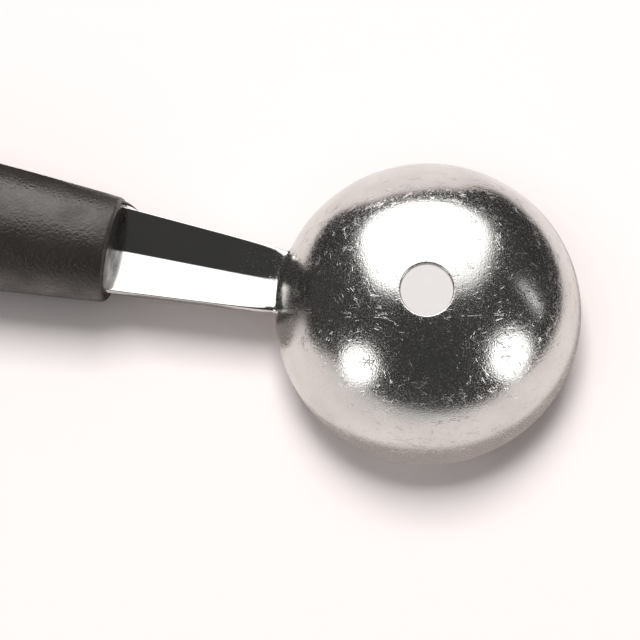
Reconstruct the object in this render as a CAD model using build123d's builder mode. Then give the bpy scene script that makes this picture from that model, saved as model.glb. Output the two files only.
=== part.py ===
from build123d import *
from math import asin, cos, degrees, radians, sin, tan
import os

os.makedirs("parts", exist_ok=True)

# A double-ended melon baller lies on the flat under its handle, with both bowls mouth down.
# The tool runs along X with the large scoop at +X, and Y = 0 is its plane of symmetry.
# The origin is on the table, under the middle of the tool's length. Lengths are millimetres.

# Stainless sheet of both scoops
sheet_thickness = 0.9
lip_land = 0.45
lip_bevel_height = 0.7
lip_edge_radius = 0.1
drain_edge_radius = 0.15

# Large scoop
large_bowl_diameter = 30.0
large_bowl_depth = 12.0
large_drain_diameter = 4.9
large_neck_width = 6.4

# Small scoop
small_bowl_diameter = 22.0
small_bowl_depth = 9.0
small_drain_diameter = 3.9
small_neck_width = 5.4

# V-grooved neck between bowl and handle, the same on both scoops
neck_length = 16.3
neck_width_at_handle = 8.7
neck_over_lip = 0.6
neck_overlap = 1.6
groove_slope_angle = 12.3
fold_radius = 0.9
bowl_bend_radius = 1.0

# Tang that each neck runs into inside the handle
tang_entry_depth = 1.2
tang_length = 27.0
tang_end_width = 5.6
locking_hole_diameter = 3.0
locking_hole_inset = 9.0
moulding_clearance = 0.05

# Moulded handle, a spindle with round ends, and flats over and under its oval belly
handle_length = 94.0
handle_end_diameter = 10.4
handle_belly_width = 15.0
handle_belly_height = 13.0
quarter_swell_share = 0.75
handle_end_rounding = 0.5
handle_flats_apart = 12.0
flat_edge_radius = 3.0
handle_axis_over_lip = 0.9

# Reach of cuts past a surface, and how near an edge lies to count as on it
cut_overrun = 1.0
edge_tolerance = 0.01

# Places worked out from the sizes above
handle_axis_height = handle_flats_apart / 2
lip_height = handle_axis_height - handle_axis_over_lip
fold_height = lip_height + neck_over_lip
handle_centre = (small_bowl_diameter - large_bowl_diameter) / 2
groove_angle = radians(groove_slope_angle)
half_sheet = sheet_thickness / 2
pin_length = 4 * sheet_thickness


class ScoopSizes:
    """Sizes and places of one scoop, worked out from the driving dimensions."""

    def __init__(self, side, bowl_diameter, bowl_depth, drain_diameter, neck_width):
        self.side = side
        self.bowl_radius = bowl_diameter / 2
        self.bowl_depth = bowl_depth
        self.drain_radius = drain_diameter / 2
        self.neck_width = neck_width
        self.handle_face = handle_centre + side * handle_length / 2
        self.bowl_centre = self.handle_face + side * (neck_length + self.bowl_radius)
        # The bowl is a cap of two concentric spheres, whose centre lies under the lip
        self.outer_radius = (self.bowl_radius**2 + bowl_depth**2) / (2 * bowl_depth)
        self.inner_radius = self.outer_radius - sheet_thickness
        self.sphere_height = bowl_depth - self.outer_radius
        # Upright plane through the bowl's axis, from the lip up, with its own X away from the neck
        self.profile_plane = Plane(
            origin=(self.bowl_centre, 0, lip_height), x_dir=(side, 0, 0), z_dir=(0, -side, 0)
        )
        self.axis = Axis((self.bowl_centre, 0, 0), (0, 0, 1))

    def inside_handle(self, depth):
        """X of a point that lies `depth` inside the handle's end face."""
        return self.handle_face - self.side * depth

    def cap_arc(self, radius, start_height):
        """Half of a cap's section, from `start_height` over the lip up to the bowl's axis."""
        start_angle = degrees(asin((start_height - self.sphere_height) / radius))
        return CenterArc((0, self.sphere_height), radius, start_angle, 90 - start_angle)

    def on_outer_sphere(self, edge):
        """Whether the middle of an edge lies on the bowl's outer sphere."""
        reach = edge @ 0.5 - Vector(self.bowl_centre, 0, lip_height + self.sphere_height)
        return abs(reach.length - self.outer_radius) < edge_tolerance


def groove_section(station, width, clearance=0.0):
    """V-shaped section of the sheet, or of its slot, square to the tool at X = station."""
    half_wall = half_sheet + clearance
    side_y = width / 2 + clearance
    side_z = width / 2 * tan(groove_angle)
    shift_y = half_wall * sin(groove_angle)
    shift_z = half_wall * cos(groove_angle)
    fold_z = half_wall / cos(groove_angle)
    across_tool = Plane(origin=(station, 0, fold_height), x_dir=(0, 1, 0), z_dir=(1, 0, 0))
    with BuildSketch(across_tool) as section:
        Polygon(
            (-side_y + shift_y, side_z + shift_z),
            (0, fold_z),
            (side_y - shift_y, side_z + shift_z),
            (side_y + shift_y, side_z - shift_z),
            (0, -fold_z),
            (-side_y - shift_y, side_z - shift_z),
            align=None,
        )
        folds = section.vertices().group_by(lambda corner: abs(corner.X))[0].sort_by(Axis.Y)
        fillet(folds[-1], fold_radius)
        fillet(folds[0], fold_radius + sheet_thickness)
    return section.sketch


def neck_sections(sizes, clearance=0.0):
    """Sections of the neck inside its bowl, and just inside the handle where it is widest."""
    taper = (neck_width_at_handle - sizes.neck_width) / neck_length
    bowl_end = sizes.bowl_centre - sizes.side * (sizes.bowl_radius - neck_overlap)
    bowl_end_width = sizes.neck_width - taper * neck_overlap
    return (
        groove_section(bowl_end, bowl_end_width, clearance),
        groove_section(sizes.inside_handle(tang_entry_depth), neck_width_at_handle, clearance),
    )


def tang_end_section(sizes, clearance=0.0):
    """Section of the tang at its end, deep inside the handle."""
    return groove_section(sizes.inside_handle(tang_length + clearance), tang_end_width, clearance)


scoops = {
    "large_scoop": ScoopSizes(
        1, large_bowl_diameter, large_bowl_depth, large_drain_diameter, large_neck_width
    ),
    "small_scoop": ScoopSizes(
        -1, small_bowl_diameter, small_bowl_depth, small_drain_diameter, small_neck_width
    ),
}

# Each scoop is one stamping: drawn bowl, V-grooved neck and tang
for label, sizes in scoops.items():
    with BuildPart() as scoop:
        # Solid dome with the outer shape of the bowl and the rounding of its lip
        with BuildSketch(sizes.profile_plane) as dome:
            with BuildLine():
                outer = sizes.cap_arc(sizes.outer_radius, 0)
                Polyline(outer @ 1, (0, 0), outer @ 0)
            make_face()
            fillet(dome.vertices().sort_by(Axis.X)[-1], lip_edge_radius)
        revolve(axis=sizes.axis)

        # Neck, which runs level from the lip into the handle, and the bend that blends it into the bowl
        bowl_section, entry_section = neck_sections(sizes)
        loft(sections=[bowl_section, entry_section], ruled=True)
        junction = scoop.edges(Select.NEW).filter_by(sizes.on_outer_sphere)
        upper_junction = junction.filter_by(lambda edge: (edge @ 0.5).Z > fold_height + half_sheet)
        fillet(upper_junction, bowl_bend_radius)

        # Hollow of the bowl, with the bevel that thins its lip
        with BuildSketch(sizes.profile_plane):
            with BuildLine():
                inner = sizes.cap_arc(sizes.inner_radius, lip_bevel_height)
                lip_inside = (sizes.bowl_radius - lip_land, 0)
                Polyline(inner @ 1, (0, 0), lip_inside, inner @ 0)
            make_face()
        revolve(axis=sizes.axis, mode=Mode.SUBTRACT)

        # Drain hole through the pole, with its edges eased
        with BuildSketch(Plane.XY):
            with Locations((sizes.bowl_centre, 0)):
                Circle(sizes.drain_radius)
        extrude(amount=lip_height + sizes.bowl_depth + cut_overrun, mode=Mode.SUBTRACT)
        hole_edges = scoop.edges().filter_by(GeomType.CIRCLE).group_by(Axis.Z)
        fillet(hole_edges[-2] + hole_edges[-1], drain_edge_radius)

        # Tang, with the hole that the moulding locks through
        loft(sections=[entry_section, tang_end_section(sizes)], ruled=True)
        with BuildSketch(Plane.XY):
            with Locations((sizes.inside_handle(tang_length - locking_hole_inset), 0)):
                Circle(locking_hole_diameter / 2)
        extrude(amount=handle_belly_height, mode=Mode.SUBTRACT)
    scoop.part.label = label
    export_step(scoop.part, f"parts/{label}.step")

# Handle, lofted through ellipses that swell from each round end to the oval belly
quarter = handle_length / 4
stations = (-2 * quarter, -quarter, 0, quarter, 2 * quarter)
swell_shares = (0, quarter_swell_share, 1, quarter_swell_share, 0)
with BuildPart() as handle:
    for station, share in zip(stations, swell_shares):
        width = handle_end_diameter + share * (handle_belly_width - handle_end_diameter)
        height = handle_end_diameter + share * (handle_belly_height - handle_end_diameter)
        section_plane = Plane(
            origin=(handle_centre + station, 0, handle_axis_height), x_dir=(0, 1, 0), z_dir=(1, 0, 0)
        )
        with BuildSketch(section_plane):
            Ellipse(width / 2, height / 2)
    loft()
    end_edges = handle.edges().group_by(Axis.X)
    fillet(end_edges[0] + end_edges[-1], handle_end_rounding)

    # Flats for the thumb and the table, with their edges rounded over
    with Locations((handle_centre, 0, handle_axis_height)):
        Box(
            handle_length + cut_overrun,
            handle_belly_width + cut_overrun,
            handle_flats_apart,
            mode=Mode.INTERSECT,
        )
    upright_order = handle.faces().sort_by(Axis.Z)
    fillet(upright_order[0].edges() + upright_order[-1].edges(), flat_edge_radius)

    # Slot round each tang, and the pin of the moulding that fills its locking hole
    for sizes in scoops.values():
        bowl_section, entry_section = neck_sections(sizes, moulding_clearance)
        loft(sections=[bowl_section, entry_section], ruled=True, mode=Mode.SUBTRACT)
        end_section = tang_end_section(sizes, moulding_clearance)
        loft(sections=[entry_section, end_section], ruled=True, mode=Mode.SUBTRACT)
        with BuildSketch(Plane.XY.offset(fold_height - pin_length / 2)):
            with Locations((sizes.inside_handle(tang_length - locking_hole_inset), 0)):
                Circle(locking_hole_diameter / 2 - moulding_clearance)
        extrude(amount=pin_length)
handle.part.label = "handle"
export_step(handle.part, "parts/handle.step")
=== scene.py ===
"""Looks of a double-ended melon baller: two drained steel scoops moulded into a black spindle handle.

Shapes are modelled in millimetres and scaled to metres last. The tool runs along X with the large scoop
at +X, and lies on the flat under its handle, mouths down.
"""

import logging
import math
from dataclasses import dataclass
from enum import Enum

import bmesh
import bpy
from mathutils import Matrix, Vector

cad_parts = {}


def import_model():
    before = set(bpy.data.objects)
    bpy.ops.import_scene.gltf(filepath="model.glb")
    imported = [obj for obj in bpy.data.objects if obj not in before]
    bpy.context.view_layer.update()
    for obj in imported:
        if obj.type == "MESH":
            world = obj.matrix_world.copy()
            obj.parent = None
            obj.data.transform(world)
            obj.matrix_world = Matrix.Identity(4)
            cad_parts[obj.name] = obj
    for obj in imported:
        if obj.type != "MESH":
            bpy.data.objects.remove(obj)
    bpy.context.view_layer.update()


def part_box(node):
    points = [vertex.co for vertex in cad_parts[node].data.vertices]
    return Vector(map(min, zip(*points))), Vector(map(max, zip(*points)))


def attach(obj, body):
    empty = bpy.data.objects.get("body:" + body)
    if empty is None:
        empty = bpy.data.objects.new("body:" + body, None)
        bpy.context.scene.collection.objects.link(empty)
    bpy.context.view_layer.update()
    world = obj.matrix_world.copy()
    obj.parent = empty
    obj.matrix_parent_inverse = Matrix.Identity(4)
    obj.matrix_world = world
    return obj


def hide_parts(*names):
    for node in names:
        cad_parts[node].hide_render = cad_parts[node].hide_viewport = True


MM = 0.001
BODY = "root"
IMAGE_SIDE = 640
DRAWN = "drawn"
PANEL_MAP = "across"
MERGE_DISTANCE = 0.0005
RIGHT_ANGLE = 90.0
FAR = 4000.0

Tone = tuple[float, float, float]
Outline = tuple[tuple[float, float], ...]
Socket = bpy.types.NodeSocket
Inputs = dict[str | int, object]
Mesh = bmesh.types.BMesh

log = logging.getLogger("melon_baller")


class Facing(Enum):
    """The end of the handle that a scoop points away from."""

    TOWARDS_PLUS_X = 1
    TOWARDS_MINUS_X = -1


class Slot(Enum):
    """Material slots of the record."""

    STEEL = "scoop_steel"
    PLASTIC = "handle_plastic"


# Node boards and shared effects


class Board:
    """Lays out the nodes of one tree and links them."""

    spacing: int = 200

    def __init__(self, tree: bpy.types.NodeTree) -> None:
        """Start on an empty tree.

        Args:
            tree: The node tree to fill.
        """
        self.tree = tree
        self.tree.nodes.clear()
        self.column = 0

    def add(self, kind: str, inputs: Inputs | None = None, **settings: object) -> bpy.types.Node:
        """Add a node to the right of the last one.

        Args:
            kind: The node's type name.
            inputs: What goes into its inputs: sockets to link, or numbers and colours.
            **settings: Properties to set on it.

        Returns:
            The new node.
        """
        node = self.tree.nodes.new(kind)
        node.location = (self.column * self.spacing, 0)
        self.column += 1
        for key, value in settings.items():
            setattr(node, key, value)
        for key, value in (inputs or {}).items():
            if isinstance(value, Socket):
                self.tree.links.new(value, node.inputs[key])
            else:
                node.inputs[key].default_value = value
        return node

    def math(self, operation: str, first: object, second: object = 0.0) -> Socket:
        """Add a Math node.

        Args:
            operation: The sum it does.
            first: A socket or a number.
            second: A socket or a number.

        Returns:
            The node's output.
        """
        return self.add("ShaderNodeMath", {0: first, 1: second}, operation=operation).outputs[0]

    def spread(self, source: Socket, low: float, high: float, start: float = 0.0, end: float = 1.0) -> Socket:
        """Map a value to a range, clamped.

        Args:
            source: The value.
            low: What comes out at start.
            high: What comes out at end.
            start: Where the range of the value starts.
            end: Where it ends.

        Returns:
            The mapped value.
        """
        inputs = {"Value": source, "From Min": start, "From Max": end, "To Min": low, "To Max": high}
        return self.add("ShaderNodeMapRange", inputs).outputs["Result"]

    def clouds(self, place: Socket, scale: Socket, detail: float = 2.0, roughness: float = 0.5) -> Socket:
        """Add a cloudy noise.

        Args:
            place: Where a point lies.
            scale: How many clouds fit in a metre.
            detail: How many finer layers it has.
            roughness: How strong the finer layers are.

        Returns:
            The noise, around 0.5.
        """
        inputs = {"Vector": place, "Scale": scale, "Detail": detail, "Roughness": roughness}
        return self.add("ShaderNodeTexNoise", inputs, noise_dimensions="3D").outputs["Fac"]

    def bump(self, height: Socket, depth: float, under: Socket | None = None, dug: bool = False) -> Socket:
        """Raise or dig a relief.

        Args:
            height: The relief, as a share of its depth.
            depth: The depth in millimetres.
            under: The normal of the relief that it lies on.
            dug: Whether it goes into the surface.

        Returns:
            The normal.
        """
        inputs = {"Height": height, "Distance": depth * MM}
        if under is not None:
            inputs["Normal"] = under
        return self.add("ShaderNodeBump", inputs, invert=dug).outputs["Normal"]

    def both(self, first: Socket, second: Socket) -> Socket:
        """Add the light of two shaders."""
        return self.add("ShaderNodeAddShader", {0: first, 1: second}).outputs[0]

    def show(self, surface: Socket, output: str = "ShaderNodeOutputMaterial") -> None:
        """Send a shader to the tree's output."""
        self.add(output, {"Surface": surface})


def blank_material(name: str) -> tuple[bpy.types.Material, Board]:
    """Make a material with an empty tree.

    Args:
        name: The material's name.

    Returns:
        The material and the board of its nodes.
    """
    material = bpy.data.materials.new(name)
    material.use_nodes = True
    return material, Board(material.node_tree)


def new_group(name: str, inputs: dict[str, float | None], outputs: tuple[str, ...]) -> bpy.types.NodeTree:
    """Make an empty node group.

    Args:
        name: The group's name.
        inputs: Each input with its usual value, or None for a vector.
        outputs: The values that it puts out.

    Returns:
        The group.
    """
    group = bpy.data.node_groups.new(name, "ShaderNodeTree")
    for key, value in inputs.items():
        kind = "NodeSocketVector" if value is None else "NodeSocketFloat"
        socket = group.interface.new_socket(name=key, in_out="INPUT", socket_type=kind)
        if value is not None:
            socket.default_value = value
    for key in outputs:
        group.interface.new_socket(name=key, in_out="OUTPUT", socket_type="NodeSocketFloat")
    return group


def grain_group() -> bpy.types.NodeTree:
    """Build the grain of steel and plastic: pebbles, scattered pits, slow patches and a haze of specks.

    Returns:
        A group from Vector, Grain Size and Patch Size in millimetres, and Pit Depth as a share of the
        pebbles', to Height, Patches, Pits and Specks.
    """
    speck_scale_share, pit_scale_share = 1.7, 0.8
    patch_range, speck_range = (0.35, 0.65), (0.46, 0.7)
    pit_reach, no_pit_chance = 0.42, 0.25
    inputs = {"Vector": None, "Grain Size": 0.3, "Patch Size": 6.0, "Pit Depth": 1.0}
    group = new_group("grain", inputs, ("Height", "Patches", "Pits", "Specks"))
    board = Board(group)
    given = board.add("NodeGroupInput").outputs
    place = given["Vector"]
    fine_scale = board.math("DIVIDE", 1 / MM, given["Grain Size"])
    patch_scale = board.math("DIVIDE", 1 / MM, given["Patch Size"])
    speck_scale = board.math("MULTIPLY", fine_scale, speck_scale_share)
    pit_scale = board.math("MULTIPLY", fine_scale, pit_scale_share)
    pebbles = board.clouds(place, fine_scale, detail=2.0, roughness=0.6)
    patches = board.clouds(place, patch_scale, detail=3.0)
    specks = board.clouds(place, speck_scale, detail=1.0)
    cells = board.add("ShaderNodeTexVoronoi", {"Vector": place, "Scale": pit_scale}, feature="F1")
    chance = board.add("ShaderNodeSeparateColor", {"Color": cells.outputs["Color"]}).outputs["Red"]
    pit = board.spread(cells.outputs["Distance"], 1.0, 0.0, 0.0, pit_reach)
    dug = board.math("MULTIPLY", pit, board.spread(chance, 0.0, 1.0, no_pit_chance, 1.0))
    results = {
        "Height": board.math("SUBTRACT", pebbles, board.math("MULTIPLY", dug, given["Pit Depth"])),
        "Patches": board.spread(patches, 0.0, 1.0, *patch_range),
        "Pits": dug,
        "Specks": board.spread(specks, 0.0, 1.0, *speck_range),
    }
    board.add("NodeGroupOutput", results)
    return group


def scratch_group() -> bpy.types.NodeTree:
    """Build hairline scratches in three directions, each broken up into short strokes.

    Returns:
        A group from Vector and Spacing in millimetres to Lines, which is 1 on a scratch.
    """
    turns, stretch, line_width, stroke_level = (0.4, 1.5, 2.5), 0.09, 0.035, 0.56
    group = new_group("scratches", {"Vector": None, "Spacing": 1.0}, ("Lines",))
    board = Board(group)
    given = board.add("NodeGroupInput").outputs
    scale = board.math("DIVIDE", 1 / MM, given["Spacing"])
    total: object = 0.0
    for turn in turns:
        turning, stretching = (turn / 2, turn, turn), (1 / stretch, 1.0, 1.0)
        laid = {"Vector": given["Vector"], "Rotation": turning, "Scale": stretching}
        place = board.add("ShaderNodeMapping", laid, vector_type="TEXTURE").outputs["Vector"]
        cut = {"Vector": place, "Scale": scale}
        cells = board.add("ShaderNodeTexVoronoi", cut, feature="DISTANCE_TO_EDGE")
        line = board.spread(cells.outputs["Distance"], 1.0, 0.0, 0.0, line_width)
        breaks = board.clouds(given["Vector"], scale)
        kept = board.spread(breaks, 0.0, 1.0, stroke_level, stroke_level + line_width)
        total = board.math("MAXIMUM", board.math("MULTIPLY", line, kept), total)
    board.add("NodeGroupOutput", {"Lines": total})
    return group


class SharedEffects:
    """Node groups that the finishes place with their own values."""

    def __init__(self) -> None:
        """Build each group once."""
        self.grain = grain_group()
        self.scratches = scratch_group()


# Finishes


@dataclass(frozen=True)
class Finish:
    """What both finishes have. Lengths are millimetres, and a pit's depth is a share of the pebbles'."""

    name: str
    light_tone: Tone
    dark_tone: Tone
    smooth: float
    rough: float
    grain_size: float
    grain_depth: float
    pit_depth: float
    patch_size: float
    scratch_spacing: float
    scratch_depth: float

    def material(self, effects: SharedEffects) -> bpy.types.Material:
        """Make the material.

        Args:
            effects: The shared node groups.

        Returns:
            The material.
        """
        material, board = blank_material(self.name)
        place = board.add("ShaderNodeTexCoord").outputs["Object"]
        sizes = {"Grain Size": self.grain_size, "Patch Size": self.patch_size, "Pit Depth": self.pit_depth}
        grain = board.add("ShaderNodeGroup", {"Vector": place, **sizes}, node_tree=effects.grain).outputs
        strokes = {"Vector": place, "Spacing": self.scratch_spacing}
        lines = board.add("ShaderNodeGroup", strokes, node_tree=effects.scratches).outputs["Lines"]
        tones = {"Factor": grain["Patches"], "A": (*self.light_tone, 1.0), "B": (*self.dark_tone, 1.0)}
        inputs = {
            "Base Color": board.add("ShaderNodeMix", tones, data_type="RGBA").outputs["Result"],
            "Roughness": self.dullness(board, grain),
            "Normal": self.relief(board, place, grain["Height"], lines),
            **self.constants(),
        }
        board.show(board.add("ShaderNodeBsdfPrincipled", inputs).outputs["BSDF"])
        return material

    def dullness(self, board: Board, grain: bpy.types.NodeOutputs) -> Socket:
        """Go from smooth to rough with the grain's patches."""
        return board.spread(grain["Patches"], self.smooth, self.rough)

    def relief(self, board: Board, place: Socket, grain: Socket, lines: Socket) -> Socket:
        """Dig scratches into the grain."""
        return board.bump(lines, self.scratch_depth, board.bump(grain, self.grain_depth), dug=True)

    def constants(self) -> Inputs:
        """List the shader's other values."""
        return {}


@dataclass(frozen=True)
class SteelFinish(Finish):
    """Polished stainless sheet with an orange-peel grain, hairlines and a faint warm cast.

    Drawing roughened the bowl, and the neck keeps a share of its marks.
    """

    name: str = "polished_stainless"
    light_tone: Tone = (0.66, 0.645, 0.625)
    dark_tone: Tone = (0.58, 0.565, 0.55)
    smooth: float = 0.07
    rough: float = 0.13
    grain_size: float = 0.17
    grain_depth: float = 0.0118
    pit_depth: float = 0.75
    patch_size: float = 5.0
    scratch_spacing: float = 1.0
    scratch_depth: float = 0.01
    pit_dullness: float = 0.3
    speck_dullness: float = 0.23
    neck_relief_share: float = 0.1
    neck_dullness_share: float = 0.4

    def marked(self, board: Board, neck_share: float) -> Socket:
        """Go from a share on the neck to 1 on the bowl."""
        drawn = board.add("ShaderNodeAttribute", attribute_name=DRAWN).outputs["Fac"]
        return board.spread(drawn, neck_share, 1.0)

    def dullness(self, board: Board, grain: bpy.types.NodeOutputs) -> Socket:
        """Add the haze of pits and specks to the polish.

        Args:
            board: The material's nodes.
            grain: What the grain group puts out.

        Returns:
            The roughness.
        """
        pits = board.math("MULTIPLY", grain["Pits"], self.pit_dullness)
        specks = board.math("MULTIPLY", grain["Specks"], self.speck_dullness)
        marked = self.marked(board, self.neck_dullness_share)
        haze = board.math("MULTIPLY", board.math("ADD", pits, specks), marked)
        return board.math("ADD", super().dullness(board, grain), haze)

    def relief(self, board: Board, place: Socket, grain: Socket, lines: Socket) -> Socket:
        """Flatten grain and hairlines on the neck.

        Args:
            board: The material's nodes.
            place: Where a point lies on the piece.
            grain: Height of the grain.
            lines: The hairlines.

        Returns:
            The normal.
        """
        marked = self.marked(board, self.neck_relief_share)
        heights = [board.math("MULTIPLY", height, marked) for height in (grain, lines)]
        return super().relief(board, place, *heights)

    def constants(self) -> Inputs:
        """Make the shader a metal."""
        return {"Metallic": 1.0}


@dataclass(frozen=True)
class PlasticFinish(Finish):
    """Black moulded plastic with a satin grain, faint scuffs and the mould's parting line along its sides."""

    name: str = "black_moulding"
    light_tone: Tone = (0.028, 0.024, 0.022)
    dark_tone: Tone = (0.017, 0.014, 0.013)
    smooth: float = 0.25
    rough: float = 0.49
    grain_size: float = 0.32
    grain_depth: float = 0.075
    pit_depth: float = 0.3
    patch_size: float = 2.6
    scratch_spacing: float = 3.0
    scratch_depth: float = 0.004
    sheen_off_surface: float = 0.64
    sheen_tone: Tone = (1.0, 0.95, 0.9)
    seam_height: float = 6.0
    seam_half_width: float = 0.11
    seam_ridge: float = 0.03

    def relief(self, board: Board, place: Socket, grain: Socket, lines: Socket) -> Socket:
        """Lay the parting line over the grain and dig the scuffs into both.

        Args:
            board: The material's nodes.
            place: Where a point lies on the piece.
            grain: Height of the grain.
            lines: The scuffs.

        Returns:
            The normal.
        """
        height = board.add("ShaderNodeSeparateXYZ", {0: place}).outputs["Z"]
        off_seam = board.math("ABSOLUTE", board.math("SUBTRACT", height, self.seam_height * MM))
        ridge = board.spread(off_seam, 1.0, 0.0, 0.0, self.seam_half_width * MM)
        seam = board.bump(ridge, self.seam_ridge, board.bump(grain, self.grain_depth))
        return board.bump(lines, self.scratch_depth, seam, dug=True)

    def constants(self) -> Inputs:
        """Set how strong and how warm the sheen is."""
        return {"Specular IOR Level": self.sheen_off_surface, "Specular Tint": (*self.sheen_tone, 1.0)}


# Meshes


def clamped(share: float) -> float:
    """Keep a share between 0 and 1."""
    return min(1.0, max(0.0, share))


def ease(share: float) -> float:
    """Smooth a share from 0 to 1 so that it starts and ends level."""
    share = clamped(share)
    return share * share * (3 - 2 * share)


def turned(outline: list[Vector], axis: tuple[int, int, int], steps: int, closed: bool = False) -> Mesh:
    """Turn an outline full circle round an axis through the origin.

    Args:
        outline: The outline's points, in millimetres.
        axis: The direction of the axis.
        steps: Faces round the circle.
        closed: Whether the outline's last point joins its first.

    Returns:
        The closed mesh, with its faces outwards.
    """
    bm = bmesh.new()
    verts = [bm.verts.new(point) for point in outline]
    edges = [bm.edges.new((verts[i - 1], verts[i])) for i in range(0 if closed else 1, len(verts))]
    bmesh.ops.spin(
        bm,
        geom=verts + edges,
        cent=(0, 0, 0),
        axis=axis,
        angle=math.tau,
        steps=steps,
        use_merge=True,
        use_duplicate=False,
    )
    bmesh.ops.remove_doubles(bm, verts=bm.verts, dist=MERGE_DISTANCE)
    bmesh.ops.recalc_face_normals(bm, faces=bm.faces)
    return bm


def finished_piece(bm: Mesh, name: str, material: bpy.types.Material) -> bpy.types.Object:
    """Turn a millimetre mesh into a smooth-shaded object at the origin, in metres.

    Args:
        bm: The mesh, which is freed.
        name: The object's name.
        material: Its material.

    Returns:
        The object.
    """
    bmesh.ops.scale(bm, vec=(MM, MM, MM), verts=bm.verts)
    mesh = bpy.data.meshes.new(name)
    bm.to_mesh(mesh)
    bm.free()
    mesh.shade_smooth()
    mesh.materials.append(material)
    piece = bpy.data.objects.new(name, mesh)
    bpy.context.scene.collection.objects.link(piece)
    return piece


def subdivide(piece: bpy.types.Object, levels: int) -> None:
    """Give a piece a Subdivision Surface modifier.

    Args:
        piece: The piece.
        levels: Its levels, the same in every view.
    """
    modifier = piece.modifiers.new("smooth_skin", "SUBSURF")
    modifier.levels = levels
    modifier.render_levels = levels


@dataclass
class Scoop:
    """One stamping of stainless sheet: drawn bowl, V-grooved neck and tang. Lengths are millimetres.

    It is modelled with its bowl's axis on Z, its lip at height zero and its neck along -X.
    """

    name: str
    node: str
    facing: Facing
    bowl_depth: float
    drain_radius: float
    neck_width: float
    bowl_centre: float = 0.0
    bowl_radius: float = 0.0
    lip_height: float = 0.0
    handle_face: float = 0.0
    sheet: float = 0.9
    lip_land: float = 0.45
    lip_bevel_height: float = 0.7
    lip_rounding: float = 0.1
    bevel_shares: tuple[float, ...] = (0.06, 0.5, 0.94)
    drain_rounding: float = 0.15
    drain_flare: float = 0.18
    drain_rounding_steps: int = 3
    neck_width_at_handle: float = 8.7
    neck_over_lip: float = 0.6
    groove_slope: float = math.radians(12.3)
    root_top: float = math.radians(42)
    root_full: float = math.radians(68)
    root_reach: int = 4
    neck_steps: tuple[float, ...] = (0.32, 1.0, 4.5, 8.5, 12.5)
    last_step_off_handle: float = 0.4
    tang_entry_depth: float = 1.2
    tang_length: float = 27.0
    tang_end_width: float = 5.6
    tang_end_step: float = 0.3
    ring_step: float = math.radians(4.5)
    column_shares: tuple[float, ...] = (0.0, 0.12, 0.94, 1.0)
    settling_sections: int = 2
    fading_sections: int = 3
    fold_crease: float = 0.5
    edge_crease: float = 0.8
    skin_levels: int = 2

    def take_places(self) -> None:
        """Read where the scoop lies from its own CAD node and the handle's."""
        low, high = (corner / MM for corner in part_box(self.node))
        handle_low, handle_high = (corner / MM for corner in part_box("handle"))
        self.bowl_radius = round(high.y, 1)
        self.lip_height = low.z
        if self.facing is Facing.TOWARDS_PLUS_X:
            self.bowl_centre = round(high.x, 1) - self.bowl_radius
            self.handle_face = handle_high.x
        else:
            self.bowl_centre = round(low.x, 1) + self.bowl_radius
            self.handle_face = handle_low.x

    @property
    def outer_radius(self) -> float:
        """Radius of the bowl's outer sphere."""
        return (self.bowl_radius**2 + self.bowl_depth**2) / (2 * self.bowl_depth)

    @property
    def inner_radius(self) -> float:
        """Radius of the bowl's inner sphere."""
        return self.outer_radius - self.sheet

    @property
    def sphere_height(self) -> float:
        """Height over the lip of both spheres' centre, which lies below it."""
        return self.bowl_depth - self.outer_radius

    @property
    def neck_length(self) -> float:
        """Length of the neck between the bowl and the handle."""
        return abs(self.handle_face - self.bowl_centre) - self.bowl_radius

    @property
    def root_angles(self) -> tuple[float, float]:
        """Angles from the bowl's axis of the neck's fold where it leaves the bowl.

        Returns:
            The angle on top of the sheet, and the one underneath.
        """
        underside = self.neck_over_lip - self.sheet / 2 / math.cos(self.groove_slope)
        heights = (self.neck_over_lip + self.sheet / 2, underside)
        return tuple(self.polar_at(self.outer_radius, height) for height in heights)

    @property
    def neck_columns(self) -> int:
        """Columns of faces from the neck's fold to its edge."""
        return len(self.column_shares) - 1

    @property
    def columns(self) -> int:
        """Steps round the bowl, of which the neck takes `neck_columns` on each side of its fold."""
        half_angle = math.asin(self.neck_width / 2 / self.bowl_radius)
        return 2 * round(math.pi * self.neck_columns / half_angle)

    def on_sphere(self, radius: float, polar: float) -> Vector:
        """Give a point of a sphere's section.

        Args:
            radius: The sphere's radius.
            polar: Angle from the bowl's axis.

        Returns:
            The point in the section's plane, away from the axis along -X.
        """
        return Vector((-radius * math.sin(polar), 0, self.sphere_height + radius * math.cos(polar)))

    def polar_at(self, radius: float, height: float) -> float:
        """Give the angle from the bowl's axis at which a sphere is at a height over the lip."""
        return math.acos((height - self.sphere_height) / radius)

    def arc(self, radius: float, start: float, end: float) -> list[Vector]:
        """Step along a sphere's section.

        Args:
            radius: The sphere's radius.
            start: First angle from the bowl's axis.
            end: Last angle from the bowl's axis.

        Returns:
            Evenly spaced points, both ends among them.
        """
        count = max(2, round(abs(end - start) / self.ring_step))
        return [self.on_sphere(radius, start + (end - start) * i / count) for i in range(count + 1)]

    def drain_corner(self, face_height: float, rounding: float, side: int) -> list[Vector]:
        """Round an edge of the drain hole.

        Args:
            face_height: Height over the lip at which the rounding meets the sheet's face.
            rounding: Radius of the rounding.
            side: 1 for the edge inside the bowl, -1 for the outer one.

        Returns:
            Points from the hole's wall to just short of the face.
        """
        steps = self.drain_rounding_steps
        wall_end = Vector((-self.drain_radius, 0, face_height + side * rounding))
        turns = (math.pi / 2 * step / steps for step in range(steps))
        arc = [Vector((math.cos(turn) - 1, 0, -side * math.sin(turn))) for turn in turns]
        return [wall_end + rounding * step for step in arc]

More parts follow.
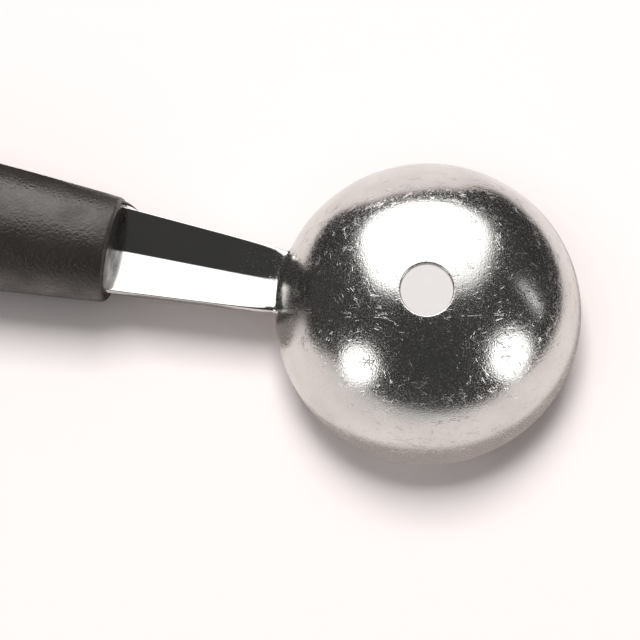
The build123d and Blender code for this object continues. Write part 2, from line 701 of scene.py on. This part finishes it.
    def wall_profile(self) -> list[Vector]:
        """Outline the bowl's wall from the drain hole over the outside, the lip and the inside.

        Returns:
            The points of the closed outline, in order.
        """
        outer_start = math.asin((self.drain_radius + self.drain_flare) / self.outer_radius)
        inner_start = math.asin((self.drain_radius + self.drain_rounding) / self.inner_radius)
        outer_rim = self.on_sphere(self.outer_radius, outer_start)
        inner_rim = self.on_sphere(self.inner_radius, inner_start)
        root_high, root_low = self.root_angles
        bevel_end = self.polar_at(self.inner_radius, self.lip_bevel_height)
        bevel_top = self.on_sphere(self.inner_radius, bevel_end)
        over_bevel = bevel_end - self.ring_step / 8
        lip_outer = -self.bowl_radius
        land_end = lip_outer + self.lip_land
        cut = self.lip_rounding * (1 - math.sqrt(0.5))
        points = self.arc(self.outer_radius, outer_start, root_high)
        points.append(self.on_sphere(self.outer_radius, root_low))
        points.append(Vector((lip_outer + cut, 0, cut)))
        points.append(Vector((lip_outer + self.lip_rounding, 0, 0)))
        points.append(Vector((land_end - self.lip_rounding / 2, 0, 0)))
        points += [Vector((land_end, 0, 0)).lerp(bevel_top, share) for share in self.bevel_shares]
        points += self.arc(self.inner_radius, over_bevel, inner_start)
        points += reversed(self.drain_corner(inner_rim.z, self.drain_rounding, 1))
        points += self.drain_corner(outer_rim.z, self.drain_flare, -1)
        return points

    def columns_off_fold(self, point: Vector) -> float:
        """Measure in columns how far a point lies from the neck's fold, signed as its Y."""
        return math.atan2(point.y, -point.x) / (math.tau / self.columns)

    def over_root(self, point: Vector) -> float:
        """Give how far a point lies over the line, sloped as the groove, from which the neck grows."""
        middle = self.on_sphere(self.outer_radius, sum(self.root_angles) / 2)
        return point.z - abs(point.y) * math.tan(self.groove_slope) - middle.z

    def raise_root(self, bm: Mesh) -> None:
        """Slide the rings of the outer wall up beside the fold, so that they follow the groove's slopes.

        Args:
            bm: The bowl's mesh.
        """
        lowest = self.root_angles[1]
        angle_slack, wall_slack = self.ring_step / 20, self.sheet / 200
        rise = self.neck_width / 2 * math.tan(self.groove_slope) / (self.outer_radius * math.sin(lowest))
        for vert in bm.verts:
            offset = vert.co - Vector((0, 0, self.sphere_height))
            if abs(offset.length - self.outer_radius) > wall_slack:
                continue
            polar = math.acos(offset.z / offset.length)
            beside = abs(round(self.columns_off_fold(vert.co))) / self.neck_columns
            if polar > lowest + angle_slack or polar < self.root_top or beside > self.root_reach:
                continue
            across = beside if beside <= 1 else ease(1 - (beside - 1) / (self.root_reach - 1))
            along = ease((polar - self.root_top) / (self.root_full - self.root_top))
            raised = polar - rise * across * along
            scale = self.outer_radius * math.sin(raised) / math.hypot(offset.x, offset.y)
            height = self.sphere_height + self.outer_radius * math.cos(raised)
            vert.co = Vector((offset.x * scale, offset.y * scale, height))

    def groove_point(self, column: int, side: int, width: float, settled: float) -> tuple[float, float]:
        """Place a corner or an inner point of the V-shaped section.

        Args:
            column: Which column across the neck, signed as its Y.
            side: 1 on the upper face of the sheet, -1 on the lower.
            width: The neck's width at this station.
            settled: How far the columns have moved from even spacing to their shares of the width.

        Returns:
            Y, and Z over the lip.
        """
        even = abs(column) / self.neck_columns
        share = even + (self.column_shares[abs(column)] - even) * settled
        half_sheet = self.sheet / 2
        shift_y = side * half_sheet * math.sin(self.groove_slope) * share
        fold_lift = half_sheet / math.cos(self.groove_slope)
        edge_lift = half_sheet * math.cos(self.groove_slope)
        lift = fold_lift + (edge_lift - fold_lift) * share
        y = math.copysign(share * width / 2 - shift_y, column)
        z = self.neck_over_lip + share * width / 2 * math.tan(self.groove_slope) + side * lift
        return y, z

    def stations(self) -> list[tuple[float, float]]:
        """List the neck's and tang's sections from the bowl outwards.

        Returns:
            Each section's distance from the bowl's axis and its width.
        """
        radius, length = self.bowl_radius, self.neck_length
        taper = (self.neck_width_at_handle - self.neck_width) / length
        steps = self.neck_steps + (length - self.last_step_off_handle,)
        out = [(radius + step, self.neck_width + taper * step) for step in steps]
        entry = radius + length + self.tang_entry_depth
        end = radius + length + self.tang_length
        out.append((entry, self.neck_width_at_handle))
        out.append(((entry + end) / 2, (self.neck_width_at_handle + self.tang_end_width) / 2))
        out.append((end - self.tang_end_step, self.tang_end_width))
        out.append((end, self.tang_end_width))
        return out

    def root_faces(self, bm: Mesh) -> list[bmesh.types.BMFace]:
        """Find the faces of the outer wall that the neck grows out of.

        Args:
            bm: The bowl's mesh.

        Returns:
            The faces, on both sides of the fold.
        """
        slack = self.sheet / 4
        faces = []
        for face in bm.faces:
            middle = face.calc_center_median()
            outside = (middle - Vector((0, 0, self.sphere_height))).length > self.outer_radius - slack
            in_neck = abs(self.columns_off_fold(middle)) < self.neck_columns
            if outside and in_neck and abs(self.over_root(middle)) < slack:
                faces.append(face)
        return faces

    def draw_neck(self, bm: Mesh) -> None:
        """Extrude the neck and tang out of the bowl's outer wall, section by section.

        Args:
            bm: The bowl's mesh.
        """
        faces = self.root_faces(bm)
        bm.edges.layers.float.new("crease_edge")
        column = bm.verts.layers.int.new("column")
        side = bm.verts.layers.int.new("side")
        drawn = bm.verts.layers.float.new(DRAWN)
        for vert in bm.verts:
            vert[drawn] = 1.0
        for vert in {vert for face in faces for vert in face.verts}:
            vert[column] = round(self.columns_off_fold(vert.co))
            vert[side] = 1 if self.over_root(vert.co) > 0 else -1
        for number, (distance, width) in enumerate(self.stations()):
            settled = ease(number / self.settling_sections)
            region = faces + list({edge for face in faces for edge in face.edges})
            moved = bmesh.ops.extrude_face_region(bm, geom=region)
            faces = [item for item in moved["geom"] if isinstance(item, bmesh.types.BMFace)]
            verts = {vert for face in faces for vert in face.verts}
            for vert in verts:
                y, z = self.groove_point(vert[column], vert[side], width, settled)
                vert.co = Vector((-distance, y, z))
                vert[drawn] = 1.0 - ease((number + 1) / self.fading_sections)
            self.crease_section(bm, verts, settled)

    def crease_section(self, bm: Mesh, verts: set[bmesh.types.BMVert], share: float) -> None:
        """Sharpen the fold and the edges of the neck up to a section.

        Args:
            bm: The bowl's mesh.
            verts: The section's vertices.
            share: How much of its full sharpness an edge has here.
        """
        crease = bm.edges.layers.float["crease_edge"]
        column = bm.verts.layers.int["column"]
        sharpness = {0: self.fold_crease, self.neck_columns: self.edge_crease}
        for vert in verts:
            for edge in vert.link_edges:
                if edge.other_vert(vert) not in verts:
                    edge[crease] = sharpness.get(abs(vert[column]), 0.0) * share

    def build(self, material: bpy.types.Material) -> bpy.types.Object:
        """Model the scoop and put it in the place of its CAD node.

        Args:
            material: The steel.

        Returns:
            The piece.
        """
        self.take_places()
        bm = turned(self.wall_profile(), (0, 0, 1), self.columns, closed=True)
        self.raise_root(bm)
        self.draw_neck(bm)
        bmesh.ops.recalc_face_normals(bm, faces=bm.faces)
        for name in ("column", "side"):
            bm.verts.layers.int.remove(bm.verts.layers.int[name])
        if self.facing is Facing.TOWARDS_MINUS_X:
            bmesh.ops.rotate(bm, cent=(0, 0, 0), matrix=Matrix.Rotation(math.pi, 3, "Z"), verts=bm.verts)
        bmesh.ops.translate(bm, vec=(self.bowl_centre, 0, self.lip_height), verts=bm.verts)
        piece = finished_piece(bm, self.name, material)
        subdivide(piece, self.skin_levels)
        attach(piece, BODY)
        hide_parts(self.node)
        return piece


@dataclass
class Handle:
    """The moulded spindle: round ends, oval belly, and flats over and under it. Lengths are millimetres."""

    name: str = "handle_grip"
    node: str = "handle"
    end_radius: float = 5.2
    belly_half_width: float = 7.5
    belly_half_height: float = 6.5
    end_rounding: float = 0.5
    end_rounding_steps: int = 6
    end_shares: tuple[float, ...] = (0.0, 0.25, 0.5, 0.75)
    flat_softness: float = 0.12
    curl_foot: tuple[float, float, float] = (-0.15, 4.55, 1.5)
    curl_length: float = 1.9
    curl_bend: float = 3.0
    curl_radius: float = 0.2
    curl_reach: float = 2.5
    curl_behind_face: float = 0.2
    curl_tip_share: float = 0.12
    curl_steps: int = 8
    segments: int = 96
    rings: int = 72

    def profile(self, half_length: float) -> list[Vector]:
        """Outline half of the spindle's section, with its thickness as a share from 0 to 1.

        Args:
            half_length: Half of the handle's length.

        Returns:
            Points from one end's middle over the side to the other end's middle.
        """
        drop = self.end_rounding / self.end_radius
        side = half_length - self.end_rounding
        end = [(half_length, share) for share in self.end_shares]
        for step in range(self.end_rounding_steps + 1):
            turn = math.pi / 2 * step / self.end_rounding_steps
            inwards = self.end_rounding * (1 - math.cos(turn))
            end.append((half_length - inwards, 1 - drop * (1 - math.sin(turn))))
        middle = [(side - 2 * side * i / self.rings, 1.0) for i in range(1, self.rings)]
        whole = end + middle + [(-x, share) for x, share in reversed(end)]
        return [Vector((x, 0, share)) for x, share in whole]

    def flash_curl(self, bm: Mesh, half_length: float) -> None:
        """Add the tapering curl of flash that the mould left beside the neck at the large scoop's end.

        Args:
            bm: The handle's mesh, still centred on the origin.
            half_length: Half of the handle's length.
        """
        foot = Vector((half_length, 0, 0)) + Vector(self.curl_foot)
        across = Matrix.Translation(foot) @ Matrix.Rotation(math.pi / 2, 4, "Y")
        steps, radius = self.curl_steps, self.curl_radius
        ring = bmesh.ops.create_circle(bm, cap_ends=True, radius=radius, segments=steps, matrix=across)
        faces = list({face for vert in ring["verts"] for face in vert.link_faces})
        centre = foot - Vector((0, self.curl_bend, 0))
        angle = self.curl_length / self.curl_bend
        bmesh.ops.spin(bm, geom=faces, cent=centre, axis=(0, 0, -1), angle=angle, steps=steps)
        for vert in bm.verts:
            behind = vert.co.x <= half_length - self.curl_behind_face
            if behind or (vert.co - foot).length >= self.curl_reach:
                continue
            offset = vert.co - centre
            turn = math.atan2(offset.x, offset.y)
            spine = centre + self.curl_bend * Vector((math.sin(turn), math.cos(turn), 0))
            vert.co = spine.lerp(vert.co, max(self.curl_tip_share, 1 - turn / angle))

    def flattened(self, height: float, limit: float) -> float:
        """Press a height into the flats, with a soft edge.

        Args:
            height: Height from the handle's axis, before the flats.
            limit: Height of the flats from the axis.

        Returns:
            The height after them.
        """
        over = abs(height) - limit
        softened = clamped(0.5 + over / (2 * self.flat_softness))
        return math.copysign(limit + min(0.0, over - self.flat_softness * softened**2), height)

    def build(self, material: bpy.types.Material) -> bpy.types.Object:
        """Model the handle and put it in the place of its CAD node.

        Args:
            material: The plastic.

        Returns:
            The piece.
        """
        low, high = (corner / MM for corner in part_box(self.node))
        half_length = (high.x - low.x) / 2
        flat_height = (high.z - low.z) / 2
        bm = turned(self.profile(half_length), (1, 0, 0), self.segments)
        for vert in bm.verts:
            grown = 1 - (vert.co.x / half_length) ** 2
            half_width = self.end_radius + grown * (self.belly_half_width - self.end_radius)
            half_height = self.end_radius + grown * (self.belly_half_height - self.end_radius)
            vert.co.y *= half_width
            vert.co.z = self.flattened(vert.co.z * half_height, flat_height)
        self.flash_curl(bm, half_length)
        bmesh.ops.recalc_face_normals(bm, faces=bm.faces)
        bmesh.ops.translate(bm, vec=(low + high) / 2, verts=bm.verts)
        piece = finished_piece(bm, self.name, material)
        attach(piece, BODY)
        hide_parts(self.node)
        return piece


# Studio


def towards(azimuth: float, elevation: float) -> Vector:
    """Turn an azimuth from +X and an elevation, in degrees, into a direction."""
    around, above = math.radians(azimuth), math.radians(elevation)
    return Vector((math.cos(around) * math.cos(above), math.sin(around) * math.cos(above), math.sin(above)))


def set_seen_by(piece: bpy.types.Object, camera: bool, diffuse: bool, glossy: bool) -> None:
    """Choose which rays meet an object.

    Args:
        piece: A lamp or a stage object.
        camera: Whether the camera sees it.
        diffuse: Whether it lights matte surfaces.
        glossy: Whether it shows in shiny surfaces.
    """
    piece.visible_camera = camera
    piece.visible_diffuse = diffuse
    piece.visible_glossy = glossy
    piece.visible_transmission = False
    piece.visible_shadow = False


@dataclass
class SoftLamp:
    """A large lamp that lights the floor and the tool but shows in no shiny surface. Lengths are metres."""

    name: str
    azimuth: float
    elevation: float
    side: float
    radiance: float
    distance: float = 3.0

    def place(self, target: Vector) -> None:
        """Hang the lamp and aim it.

        Args:
            target: Where it aims, in metres.
        """
        data = bpy.data.lights.new(self.name, "AREA")
        data.shape = "SQUARE"
        data.size = self.side
        data.energy = self.radiance * math.pi * self.side**2
        lamp = bpy.data.objects.new(self.name, data)
        direction = towards(self.azimuth, self.elevation)
        lamp.location = target + direction * self.distance
        lamp.rotation_mode = "QUATERNION"
        lamp.rotation_quaternion = direction.to_track_quat("Z", "Y")
        set_seen_by(lamp, camera=False, diffuse=True, glossy=False)
        bpy.context.scene.collection.objects.link(lamp)


@dataclass
class GlowPanel:
    """A rounded panel with soft edges that only shiny surfaces see. Lengths are metres."""

    name: str
    azimuth: float
    elevation: float
    half_width: float
    half_height: float
    strength: float
    roundness: float = 2.0
    softness: float = 0.5
    fade_sideways: float = 0.0
    fade_upwards: float = 0.0
    roll: float = 0.0
    distance: float = 1.0

    def material(self) -> bpy.types.Material:
        """Make a glow that fades to the panel's edges, and a little across it.

        Returns:
            The material, through which the room shows.
        """
        material, board = blank_material(self.name)
        across = board.add("ShaderNodeUVMap", uv_map=PANEL_MAP).outputs["UV"]
        place = board.add("ShaderNodeSeparateXYZ", {0: across}).outputs
        sides = [board.math("MULTIPLY", board.math("SUBTRACT", place[i], 0.5), 2.0) for i in (0, 1)]
        powers = [board.math("POWER", board.math("ABSOLUTE", side), self.roundness) for side in sides]
        reach = board.math("POWER", board.math("ADD", *powers), 1 / self.roundness)
        glow = board.spread(reach, self.strength, 0.0, 1 - self.softness, 1.0)
        lean = board.math("MULTIPLY", sides[0], self.fade_sideways)
        rise = board.math("MULTIPLY", sides[1], self.fade_upwards)
        fade = board.math("SUBTRACT", 1.0, board.math("ADD", lean, rise))
        light = board.add("ShaderNodeEmission", {"Strength": board.math("MULTIPLY", glow, fade)})
        clear = board.add("ShaderNodeBsdfTransparent")
        board.show(board.both(light.outputs[0], clear.outputs[0]))
        return material

    def place(self, target: Vector) -> None:
        """Stand the panel square to its direction.

        Args:
            target: The point that it faces, in metres.
        """
        direction = towards(self.azimuth, self.elevation)
        facing = direction.to_track_quat("Z", "Y").to_matrix().to_4x4()
        rolled = facing @ Matrix.Rotation(math.radians(self.roll), 4, "Z")
        sized = Matrix.Diagonal((self.half_width / MM, self.half_height / MM, 1.0, 1.0))
        matrix = Matrix.Translation((target + direction * self.distance) / MM) @ rolled @ sized
        bm = bmesh.new()
        bm.loops.layers.uv.new(PANEL_MAP)
        bmesh.ops.create_grid(bm, x_segments=1, y_segments=1, size=1, matrix=matrix, calc_uvs=True)
        panel = finished_piece(bm, self.name, self.material())
        set_seen_by(panel, camera=False, diffuse=False, glossy=True)


@dataclass
class DarkCard:
    """A flat dark card just over the floor that only shiny surfaces see, outlined in millimetres: a painted
    dark reflection.
    """

    name: str
    outline: Outline
    tone: Tone = (0.04, 0.04, 0.04)
    lift: float = 0.2

    def place(self) -> None:
        """Lay the card down."""
        material, board = blank_material(self.name)
        board.show(board.add("ShaderNodeEmission", {"Color": (*self.tone, 1.0)}).outputs[0])
        bm = bmesh.new()
        corners = [bm.verts.new((x, y, self.lift)) for x, y in self.outline]
        bmesh.ops.contextual_create(bm, geom=corners)
        card = finished_piece(bm, self.name, material)
        set_seen_by(card, camera=False, diffuse=False, glossy=True)


@dataclass
class Studio:
    """Pale floor, soft lights, a dim room and the photograph's camera.

    Lengths are millimetres, but the floor's side is in metres.
    """

    floor_tone: Tone = (0.98, 0.905, 0.89)
    floor_side: float = 6.0
    # painted pool of light on the floor under the drain hole
    spot_radius: float = 7.0
    painted_spot_glow: float = 0.62
    spot_place: tuple[float, float] = (-0.8, 3.2)
    room_glow: float = 0.29
    room_in_steel: float = 0.065
    horizon_in_steel: float = 0.95
    horizon_blur: float = 0.02
    horizon_tilt: Tone = (0.08, 0.145, 1.0)
    handle_side_tilt: Tone = (-0.12, 0.29, 1.0)
    # painted shade: an oval card under the bowl darkens the reflection of its lip
    bowl_shade_centre: tuple[float, float] = (77.5, -5.5)
    bowl_shade_radii: tuple[float, float] = (16.8, 21.0)
    bowl_shade_corners: int = 48
    camera_place: tuple[float, float, float] = (83.844, -40.673, 229.607)
    camera_azimuth: float = 27.508
    camera_elevation: float = 79.229
    camera_roll: float = -16.107
    camera_nearest: float = 0.01
    focal_pixels: float = 2332.6
    sensor: float = 36.0

    def lamps(self) -> list[SoftLamp]:
        """List the lamps."""
        return [
            SoftLamp("key_lamp", azimuth=104.0, elevation=62.0, side=1.4, radiance=13.5),
            SoftLamp("left_lamp", azimuth=-170.0, elevation=60.0, side=1.6, radiance=1.2),
        ]

    def panels(self) -> list[GlowPanel]:
        """List the panels that show in the steel, the first of which fades across.

        Returns:
            The panels.
        """
        back = GlowPanel("back_panel", 102.0, 44.5, half_width=0.97, half_height=0.88, strength=2.8)
        back.roundness = 3.4
        back.softness = 0.28
        back.fade_sideways = -0.28
        back.fade_upwards = 0.57
        return [
            back,
            GlowPanel("left_panel", -131.0, 21.0, half_width=0.255, half_height=0.3, strength=3.4),
            GlowPanel("right_panel", -16.0, 15.0, half_width=0.3, half_height=0.38, strength=3.4),
            GlowPanel("side_glint", 20.0, 6.0, half_width=0.05, half_height=0.36, strength=1.5, roll=-42.0),
        ]

    def cards(self) -> list[DarkCard]:
        """List the cards: painted dark reflections of the room's walls, brought down to the floor, and
        painted shade under the tool, both seen only in shiny surfaces.

        Returns:
            The cards.
        """
        # painted dark reflection: the room's walls, laid on the floor for shiny surfaces only
        left = ((-FAR, -2450.0), (-80.0, -93.0), (-37.0, -54.0), (8.8, -23.5), (11.5, -15.5), (8.0, -6.0))
        left += ((28.0, 5.0), (46.0, 17.0), (47.0, 21.0), (21.0, 77.0), (44.0, 108.0), (44.0, FAR))
        left += ((-FAR, FAR),)
        right = ((44.0, 108.0), (77.0, 62.0), (79.5, 32.0), (82.5, 26.0), (88.5, 23.0), (97.0, 16.5))
        right += ((108.0, 8.0), (120.0, 1.5), (137.0, -8.5), (265.0, -78.0), (FAR, -1550.0), (FAR, FAR))
        right += ((44.0, FAR),)
        # painted shade under the neck and the handle, seen only in reflections
        across = ((36.0, -7.3), (42.0, -6.2), (49.7, -4.9), (57.0, -3.9))
        beside = across + ((57.0, -2.0), (30.0, -2.0), (30.0, -7.6))
        further = across + ((57.0, -6.9), (53.0, -8.6), (47.0, -9.4), (42.5, -8.3))
        turns = (math.tau * step / self.bowl_shade_corners for step in range(self.bowl_shade_corners))
        (x, y), (x_radius, y_radius) = self.bowl_shade_centre, self.bowl_shade_radii
        oval = tuple((x + x_radius * math.cos(turn), y + y_radius * math.sin(turn)) for turn in turns)
        return [
            DarkCard("left_card", left),
            DarkCard("right_card", right),
            DarkCard("bowl_shade", oval, (0.48, 0.42, 0.4)),
            DarkCard("neck_shade", beside, (0.06, 0.055, 0.05)),
            DarkCard("handle_shade", further, (0.28, 0.25, 0.235)),
        ]

    def floor(self, drain: Vector) -> None:
        """Lay the floor, with a painted pool of light, seen only by the camera, where light falls on it
        through the drain hole.

        Args:
            drain: Centre of the hole, in metres.
        """
        material, board = blank_material("pale_floor")
        aside, beyond = self.spot_place
        here = board.add("ShaderNodeTexCoord").outputs["Object"]
        ends = {0: here, 1: (drain.x + aside * MM, drain.y + beyond * MM, 0.0)}
        distance = board.add("ShaderNodeVectorMath", ends, operation="DISTANCE").outputs["Value"]
        # painted light: a glowing spot under the drain hole that only the camera sees
        spot = board.spread(distance, self.painted_spot_glow, 0.0, self.spot_radius * MM / 2, self.spot_radius * MM)
        seen = board.add("ShaderNodeLightPath").outputs["Is Camera Ray"]
        below = board.add("ShaderNodeNewGeometry").outputs["Backfacing"]
        strength = board.math("MULTIPLY", board.math("SUBTRACT", seen, below), spot)
        glow = board.add("ShaderNodeEmission", {"Strength": strength})
        diffuse = board.add("ShaderNodeBsdfDiffuse", {"Color": (*self.floor_tone, 1.0)})
        board.show(board.both(diffuse.outputs[0], glow.outputs[0]))
        bm = bmesh.new()
        bmesh.ops.create_grid(bm, x_segments=1, y_segments=1, size=self.floor_side / 2 / MM)
        finished_piece(bm, "floor", material)

    def room(self) -> None:
        """Light the room evenly: white to the camera, and in the steel dim above a pale horizon.

        The horizon is tilted, and tilted otherwise on the handle's side.
        """
        world = bpy.data.worlds.new("dim_room")
        bpy.context.scene.world = world
        world.use_nodes = True
        board = Board(world.node_tree)
        rays = board.add("ShaderNodeLightPath").outputs
        way = board.add("ShaderNodeTexCoord").outputs["Generated"]
        heights = []
        for tilt in (self.horizon_tilt, self.handle_side_tilt):
            over = board.add("ShaderNodeVectorMath", {0: way, 1: tilt}, operation="DOT_PRODUCT")
            heights.append(over.outputs["Value"])
        glows = (self.horizon_in_steel, self.room_in_steel)
        height = board.math("MAXIMUM", *heights)
        in_steel = board.spread(height, *glows, -self.horizon_blur, self.horizon_blur)
        shiny = {"Factor": rays["Is Glossy Ray"], "A": self.room_glow, "B": in_steel}
        dim = board.add("ShaderNodeMix", shiny, data_type="FLOAT").outputs["Result"]
        seen = {"Factor": rays["Is Camera Ray"], "A": dim, "B": 1.0}
        white = board.add("ShaderNodeMix", seen, data_type="FLOAT").outputs["Result"]
        background = board.add("ShaderNodeBackground", {"Strength": white})
        board.show(background.outputs["Background"], "ShaderNodeOutputWorld")

    def camera(self) -> None:
        """Set the camera where the photograph's stood."""
        data = bpy.data.cameras.new("photo_camera")
        data.sensor_width = self.sensor
        data.lens = self.focal_pixels / IMAGE_SIDE * self.sensor
        data.clip_start = self.camera_nearest
        camera = bpy.data.objects.new("photo_camera", data)
        roll = math.radians(self.camera_roll)
        back = towards(self.camera_azimuth - RIGHT_ANGLE, self.camera_elevation)
        level = towards(self.camera_azimuth, 0.0)
        upright = back.cross(level)
        right = math.cos(roll) * level + math.sin(roll) * upright
        up = -math.sin(roll) * level + math.cos(roll) * upright
        facing = Matrix((right, up, back)).transposed().to_4x4()
        camera.matrix_world = Matrix.Translation(Vector(self.camera_place) * MM) @ facing
        bpy.context.scene.collection.objects.link(camera)
        bpy.context.scene.camera = camera

    def build(self, target: Vector) -> None:
        """Set up the floor, lights, room and camera.

        Args:
            target: Middle of the large bowl, in metres, at which the lights aim.
        """
        self.floor(target)
        self.room()
        for light in self.lamps() + self.panels():
            light.place(target)
        for card in self.cards():
            card.place()
        self.camera()
        bpy.context.scene.view_settings.view_transform = "Standard"


def main() -> None:
    """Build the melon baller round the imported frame."""
    logging.basicConfig(level=logging.INFO, format="%(name)s: %(message)s")
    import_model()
    effects = SharedEffects()
    steel = SteelFinish().material(effects)
    plastic = PlasticFinish().material(effects)
    large_sizes = {"bowl_depth": 12.0, "drain_radius": 2.45, "neck_width": 6.4}
    small_sizes = {"bowl_depth": 9.0, "drain_radius": 1.95, "neck_width": 5.4}
    large = Scoop("large_scoop_steel", "large_scoop", Facing.TOWARDS_PLUS_X, **large_sizes)
    small = Scoop("small_scoop_steel", "small_scoop", Facing.TOWARDS_MINUS_X, **small_sizes)
    pieces = [large.build(steel), small.build(steel), Handle().build(plastic)]
    for piece in pieces:
        log.info("%s: %d vertices in its cage", piece.name, len(piece.data.vertices))
    Studio().build(Vector((large.bowl_centre, 0, large.lip_height + large.bowl_depth / 2)) * MM)


if __name__ == "__main__":
    main()
